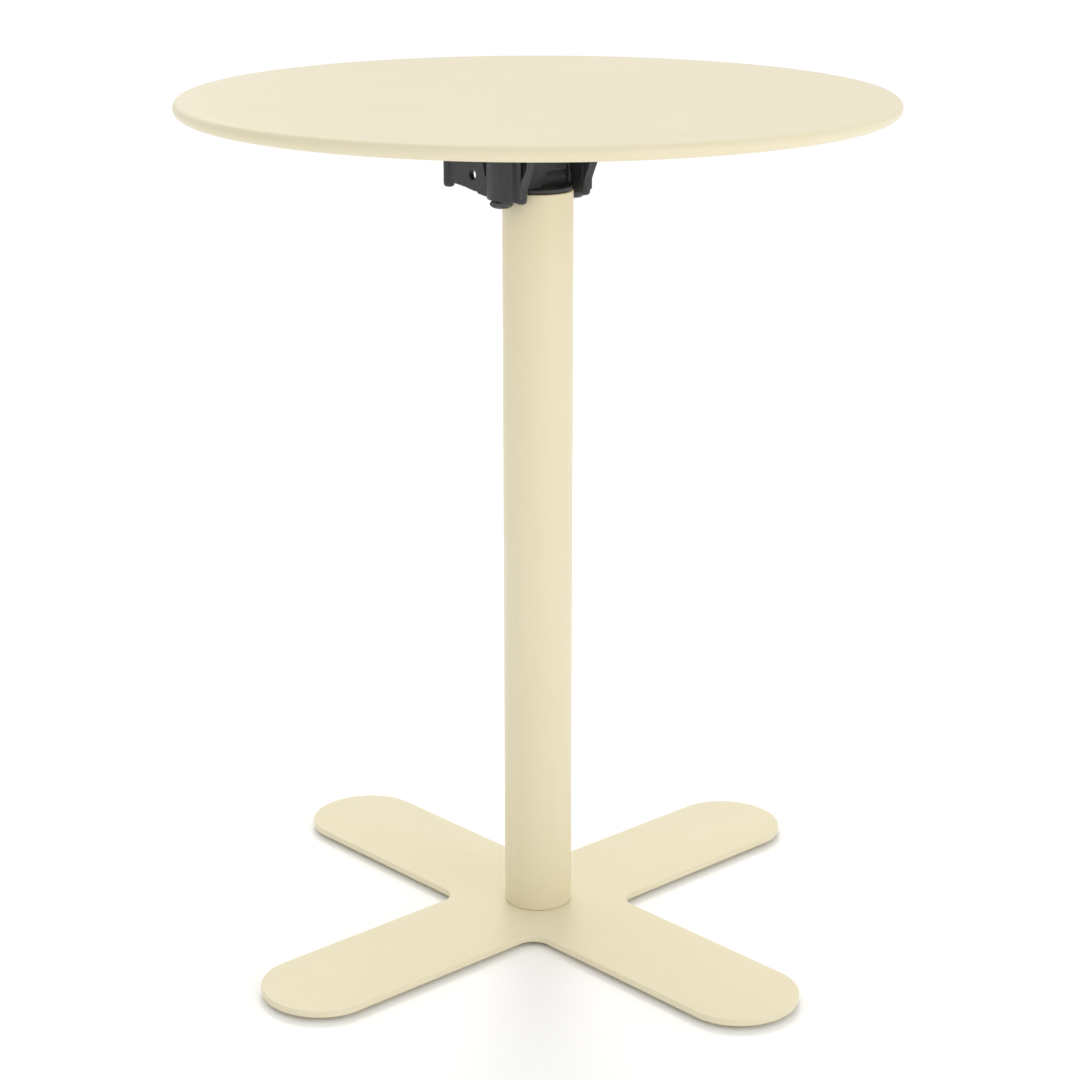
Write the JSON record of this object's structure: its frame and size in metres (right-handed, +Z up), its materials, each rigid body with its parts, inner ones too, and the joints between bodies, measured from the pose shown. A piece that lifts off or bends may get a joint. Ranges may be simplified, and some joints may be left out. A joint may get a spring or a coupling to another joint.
{
  "type": "bistro table",
  "caption": "Round flip-top cafe table with a rolled metal edge, a moulded tilt bracket, a central tube column and a flat cross base.",
  "frame": {"origin": "on the floor, on the column's axis", "axes": "+Z up along the column, +Y along the tilt axis, +X towards the side of the top that swings down; the base's arms lie along X and Y"},
  "size_m": [0.6, 0.6, 0.737],
  "materials": {
    "cream_powder_coat": "satin cream powder coat with a fine orange-peel texture",
    "charcoal_nylon": "moulded glass-filled nylon, charcoal, fine matt grain",
    "zinc_steel": "zinc-plated steel",
    "black_steel": "black oxide steel",
    "black_rubber": "matt black rubber",
    "black_acetal": "black acetal"
  },
  "bodies": {
    "stand": {"base_plate": "cream_powder_coat", "base_screw_1": "zinc_steel", "base_screw_2": "zinc_steel", "base_screw_3": "zinc_steel", "base_screw_4": "zinc_steel", "foot_pad_1": "black_rubber", "foot_pad_2": "black_rubber", "foot_pad_3": "black_rubber", "foot_pad_4": "black_rubber", "column_tube": "cream_powder_coat", "column_foot_disc": "zinc_steel", "column_head": "charcoal_nylon", "head_screw_1": "black_steel", "head_screw_2": "black_steel"},
    "top": {"tabletop": "cream_powder_coat", "top_rail_left": "cream_powder_coat", "top_rail_right": "cream_powder_coat", "top_mounting_plate": "cream_powder_coat", "tilt_bracket": "charcoal_nylon", "bracket_screw_1": "zinc_steel", "bracket_screw_2": "zinc_steel", "bracket_screw_3": "zinc_steel", "bracket_screw_4": "zinc_steel", "clamp_bolt_1": "black_steel", "clamp_bolt_2": "black_steel", "clamp_nut_1": "black_steel", "clamp_nut_2": "black_steel", "pivot_axle": "zinc_steel", "pivot_washer_left": "black_acetal", "pivot_washer_right": "black_acetal", "lever_pin": "zinc_steel"},
    "lever": {"release_lever": "charcoal_nylon", "brake_pad": "black_rubber", "lever_spring": "zinc_steel"}
  },
  "joints": [
    {"name": "top_tilt", "type": "hinge", "parent": "stand", "child": "top", "pos_m": [0, 0, 0.667], "axis": [0, 1, 0], "range_deg": [0, 90]},
    {"name": "lever_squeeze", "type": "hinge", "parent": "top", "child": "lever", "pos_m": [-0.034, 0, 0.665], "axis": [0, 1, 0], "range_deg": [0, 6], "stiffness_Nm_per_rad": 0.5, "springref_deg": -8.59}
  ]
}
